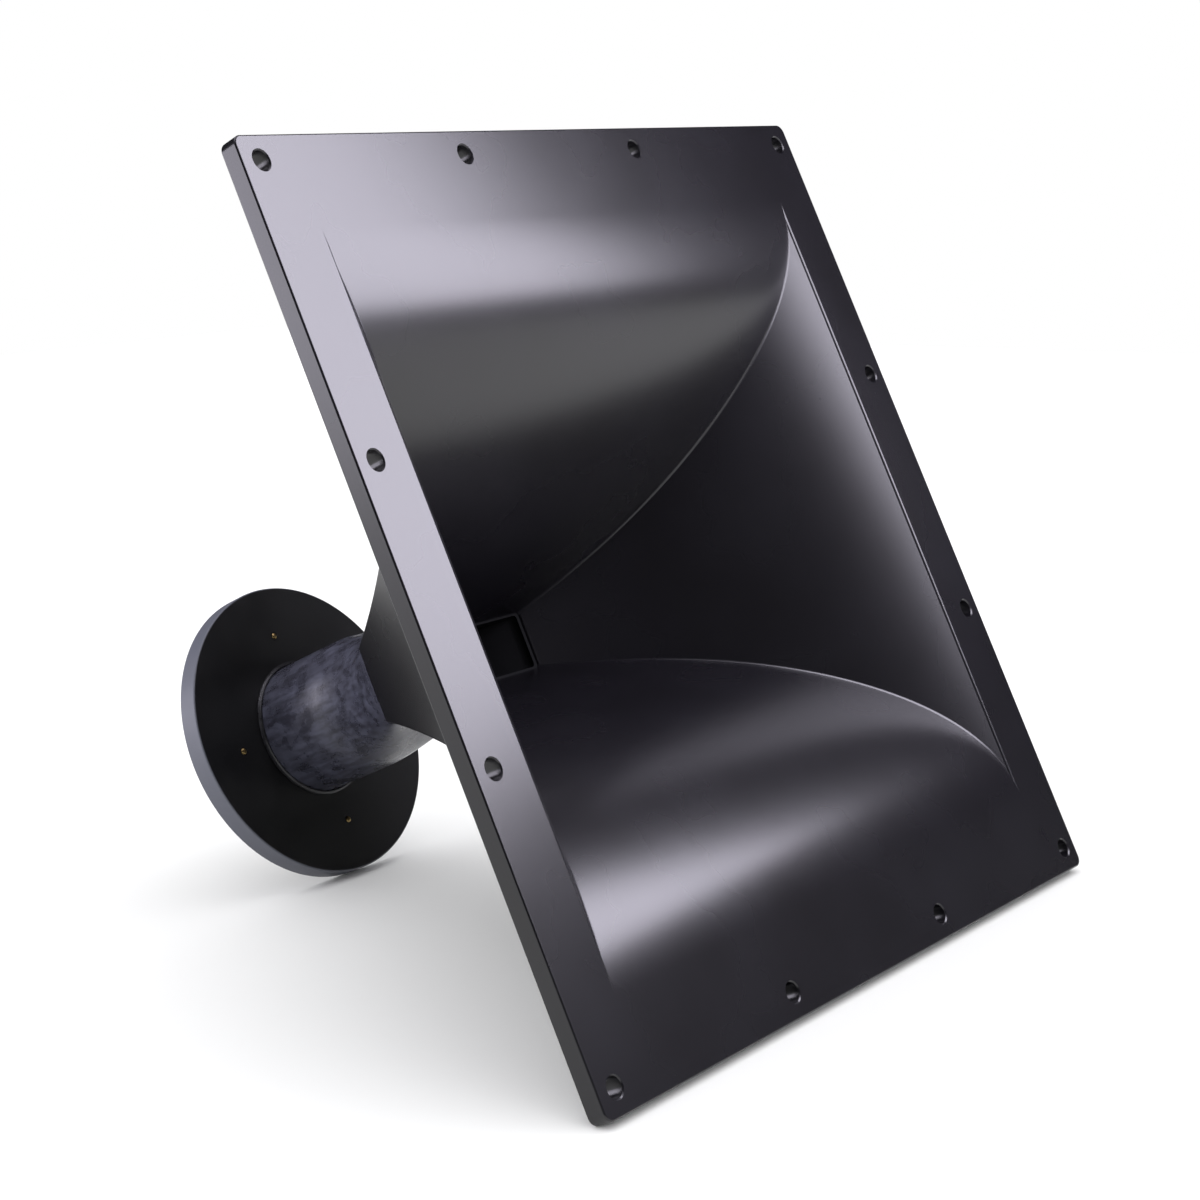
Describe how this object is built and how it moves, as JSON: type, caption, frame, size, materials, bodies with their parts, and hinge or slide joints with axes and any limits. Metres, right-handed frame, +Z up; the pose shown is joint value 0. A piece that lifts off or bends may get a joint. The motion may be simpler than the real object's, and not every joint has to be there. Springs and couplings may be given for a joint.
{
  "type": "loudspeaker horn flare",
  "caption": "Square-mouthed constant-directivity horn flare with a drilled flange, a round throat neck and a round driver plate, for the high-frequency section of a loudspeaker cabinet.",
  "frame": {"origin": "middle of the footprint's box, on the table the horn rests on", "axes": "+Z up; +X across the mouth; the mouth faces -Y and upwards, because the horn lies back 25 degrees on its flange's lower edge and its driver plate's rim"},
  "size_m": [0.4064, 0.3726, 0.3716],
  "materials": {
    "black_moulding": "satin black moulding with a very fine grain",
    "grey_black_moulding": "semi-gloss blue-black moulding, mottled",
    "plate_moulding": "matte black moulding with a grey machined rim",
    "glue": "cured black adhesive",
    "insert_brass": "turned brass, dull"
  },
  "bodies": {
    "root": {"horn_bell": "black_moulding", "throat_neck": "grey_black_moulding", "driver_plate": "plate_moulding", "bell_glue": "glue", "plate_glue": "glue", "thread_insert_1": "insert_brass", "thread_insert_2": "insert_brass", "thread_insert_3": "insert_brass", "thread_insert_4": "insert_brass"}
  },
  "joints": []
}
